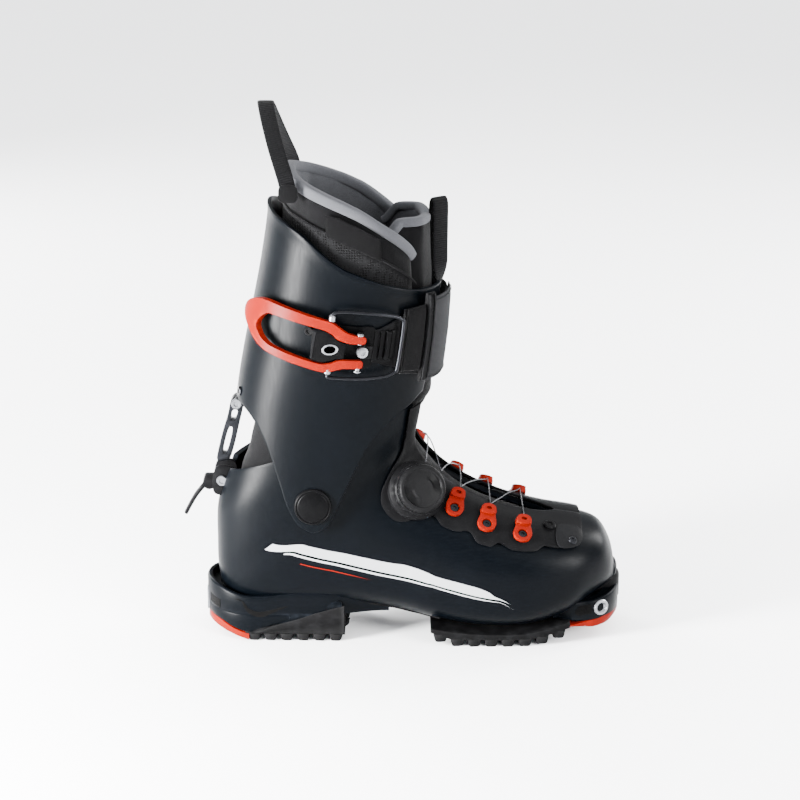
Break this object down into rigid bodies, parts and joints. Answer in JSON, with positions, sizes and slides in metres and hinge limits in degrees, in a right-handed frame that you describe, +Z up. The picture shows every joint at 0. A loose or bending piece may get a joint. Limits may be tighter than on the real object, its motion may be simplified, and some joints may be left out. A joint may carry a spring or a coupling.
{
  "type": "ski touring boot",
  "caption": "Right-foot ski touring boot with a hinged cuff, lean lock, dial-and-cable instep closure, cam buckle with power strap, removable liner and rockered sole.",
  "frame": {"origin": "centre of the bounding box in plan, on the floor the sole stands on", "axes": "+X towards the toe, +Y towards the inner (medial) side, +Z up"},
  "size_m": [0.303, 0.1222, 0.3704],
  "materials": {
    "shell_plastic": "satin, finely brushed",
    "black_plastic": "fine texture",
    "grey_plastic": "matte",
    "orange_plastic": "satin",
    "rubber": "matte",
    "steel": "brushed",
    "liner_fabric": "heathered knit",
    "gaiter_fabric": "coated stretch fabric",
    "webbing": "ribbed webbing"
  },
  "bodies": {
    "shell": {"lower_shell": "shell_plastic", "lace_frame": "black_plastic", "gaiter": "gaiter_fabric", "boot_board": "grey_plastic", "liner_foot": "liner_fabric", "outsole_heel": "rubber", "outsole_forefoot": "rubber", "heel_plate": "orange_plastic", "toe_plate": "orange_plastic", "toe_insert_lateral": "steel", "toe_insert_medial": "steel", "heel_insert": "steel", "pivot_rivet_lateral": "steel", "pivot_rivet_medial": "steel", "lock_bracket": "black_plastic", "bracket_screw": "steel", "dial_base": "black_plastic", "lace": "steel", "lace_guide_lateral_1": "orange_plastic", "lace_guide_lateral_2": "orange_plastic", "lace_guide_lateral_3": "orange_plastic", "lace_guide_medial_1": "orange_plastic", "lace_guide_medial_2": "orange_plastic", "lace_guide_medial_3": "orange_plastic", "lace_guide_medial_4": "orange_plastic", "guide_rivet_lateral_1": "steel", "guide_rivet_lateral_2": "steel", "guide_rivet_lateral_3": "steel", "guide_rivet_medial_1": "steel", "guide_rivet_medial_2": "steel", "guide_rivet_medial_3": "steel", "guide_rivet_medial_4": "steel"},
    "cuff": {"cuff": "shell_plastic", "liner_cuff": "liner_fabric", "liner_tongue": "liner_fabric", "power_strap": "webbing", "strap_pad": "webbing", "strap_bar": "black_plastic", "strap_ladder": "black_plastic", "strap_rivet_1": "steel", "strap_rivet_2": "steel", "buckle_base": "black_plastic", "buckle_pin": "steel", "buckle_bolt": "steel", "bar_hanger": "steel", "bar_screw": "steel", "rear_pull_loop": "webbing", "front_pull_loop": "webbing"},
    "lean_bar": {"lean_bar": "steel"},
    "lock_lever": {"lock_lever": "black_plastic", "pull_tab": "webbing"},
    "buckle_lever": {"buckle_lever": "orange_plastic"},
    "buckle_bail": {"buckle_bail": "steel"},
    "dial_spindle": {"dial_spindle": "steel"},
    "dial_knob": {"dial_knob": "black_plastic"},
    "dial_spool": {"dial_spool": "steel"}
  },
  "joints": [
    {"name": "cuff_flex", "type": "hinge", "parent": "shell", "child": "cuff", "pos_m": [-0.05984, 0.00176, 0.1035], "axis": [0, 1, 0], "range_deg": [-8, 12]},
    {"name": "bar_swing", "type": "hinge", "parent": "cuff", "child": "lean_bar", "pos_m": [-0.11284, 0.00176, 0.1635], "axis": [0, 1, 0], "range_deg": [-1.8, 1.2]},
    {"name": "lock_release", "type": "hinge", "parent": "shell", "child": "lock_lever", "pos_m": [-0.12384, 0.00176, 0.109], "axis": [0, 1, 0], "range_deg": [0, 35], "stiffness_Nm_per_rad": 0.03, "springref_deg": -11.46},
    {"name": "buckle_open", "type": "hinge", "parent": "cuff", "child": "buckle_lever", "pos_m": [-0.02774, -0.05614, 0.219], "axis": [0.098, -0.088, 0.9913], "range_deg": [0, 140]},
    {"name": "bail_swing", "type": "hinge", "parent": "buckle_lever", "child": "buckle_bail", "pos_m": [-0.04704, -0.05674, 0.2198], "axis": [0.098, -0.088, 0.9913], "range_deg": [-140, 0]},
    {"name": "dial_lift", "type": "slide", "parent": "shell", "child": "dial_spindle", "axis": [0.2747, -0.8767, 0.3949], "range_m": [0, 0.003]},
    {"name": "dial_turn", "type": "hinge", "parent": "dial_spindle", "child": "dial_knob", "pos_m": [0.00948, -0.02911, 0.10927], "axis": [0.2747, -0.8767, 0.3949], "continuous": true},
    {"name": "spool_turn", "type": "hinge", "parent": "shell", "child": "dial_spool", "pos_m": [0.00948, -0.02911, 0.10927], "axis": [0.2747, -0.8767, 0.3949], "continuous": true}
  ],
  "couplings": [
    {"joint": "bar_swing", "follows": "cuff_flex", "ratio": -0.15},
    {"joint": "bail_swing", "follows": "buckle_open", "ratio": -1},
    {"joint": "spool_turn", "follows": "dial_turn", "ratio": 1}
  ]
}
